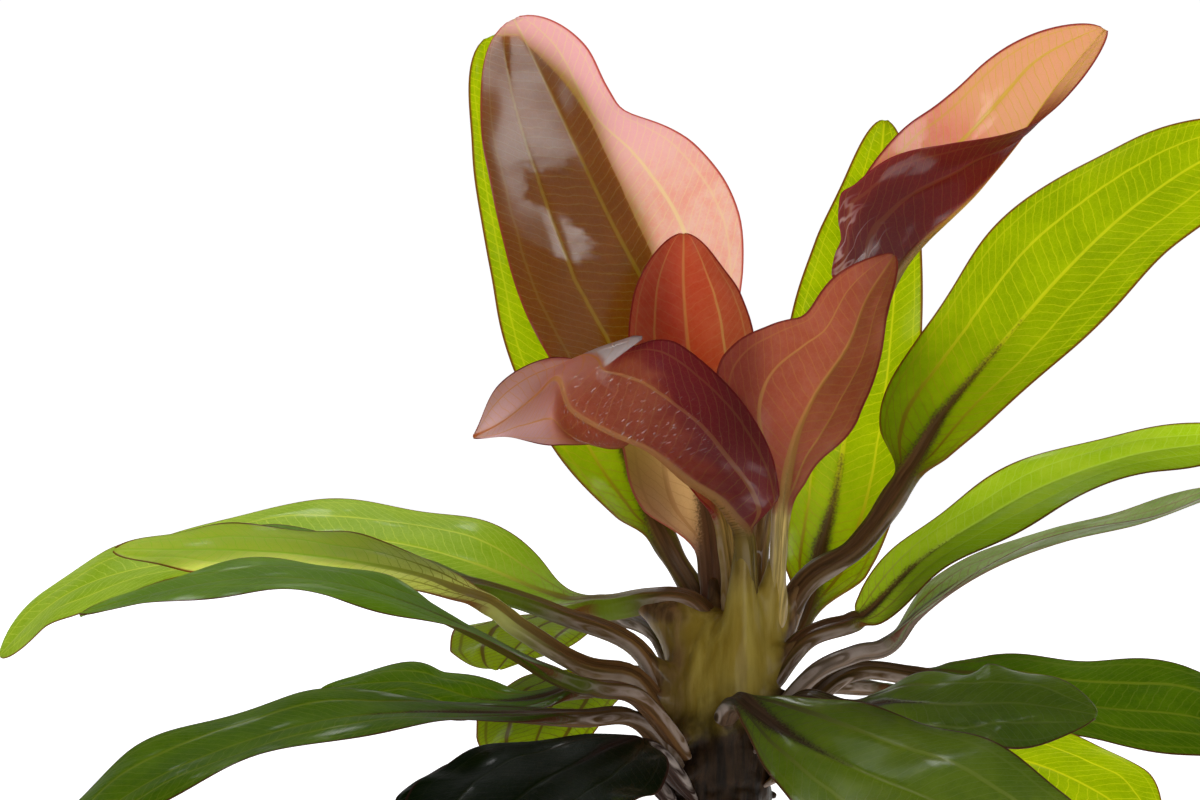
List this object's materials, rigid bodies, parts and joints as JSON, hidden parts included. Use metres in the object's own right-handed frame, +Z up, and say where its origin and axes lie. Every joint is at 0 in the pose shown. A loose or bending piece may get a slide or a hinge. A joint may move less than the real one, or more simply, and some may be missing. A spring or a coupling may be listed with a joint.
{
  "type": "red rubin echinodorus",
  "caption": "Aquarium sword plant: a leaf rosette on a short crown cut off flat, with red young leaves over green outer leaves.",
  "frame": {"origin": "centre of the crown's flat cut, on the surface the plant stands on", "axes": "+Z up along the crown, +X to the viewer's right, -Y towards the viewer"},
  "size_m": [0.343, 0.2343, 0.2094],
  "materials": {
    "crown": "moist olive crown, brown sheaths",
    "young_leaf": "wet glossy red leaf, lit through",
    "green_leaf": "wet glossy yellow-green leaf, lit through",
    "old_leaf": "wet glossy dark green leaf"
  },
  "bodies": {
    "root": {"crown": "crown", "leaf_red_tall": "young_leaf", "leaf_youngest": "young_leaf", "leaf_red_folded": "young_leaf", "leaf_red_right": "young_leaf", "leaf_red_twisted": "young_leaf", "leaf_green_behind_red": "green_leaf", "leaf_green_tall": "green_leaf", "leaf_green_broad": "green_leaf", "leaf_right_narrow": "green_leaf", "leaf_left_top": "green_leaf", "leaf_left_long": "green_leaf", "leaf_left_middle": "green_leaf", "leaf_back_left": "green_leaf", "leaf_back_low": "green_leaf", "leaf_right_low": "green_leaf", "leaf_right_edgewise": "old_leaf", "leaf_right_front": "old_leaf", "leaf_right_glossy": "old_leaf", "leaf_right_far": "old_leaf", "leaf_left_front": "old_leaf", "leaf_low_wavy": "old_leaf", "leaf_low_long": "old_leaf", "leaf_low_front": "old_leaf", "leaf_low_small": "old_leaf", "leaf_back_right": "old_leaf"}
  },
  "joints": []
}
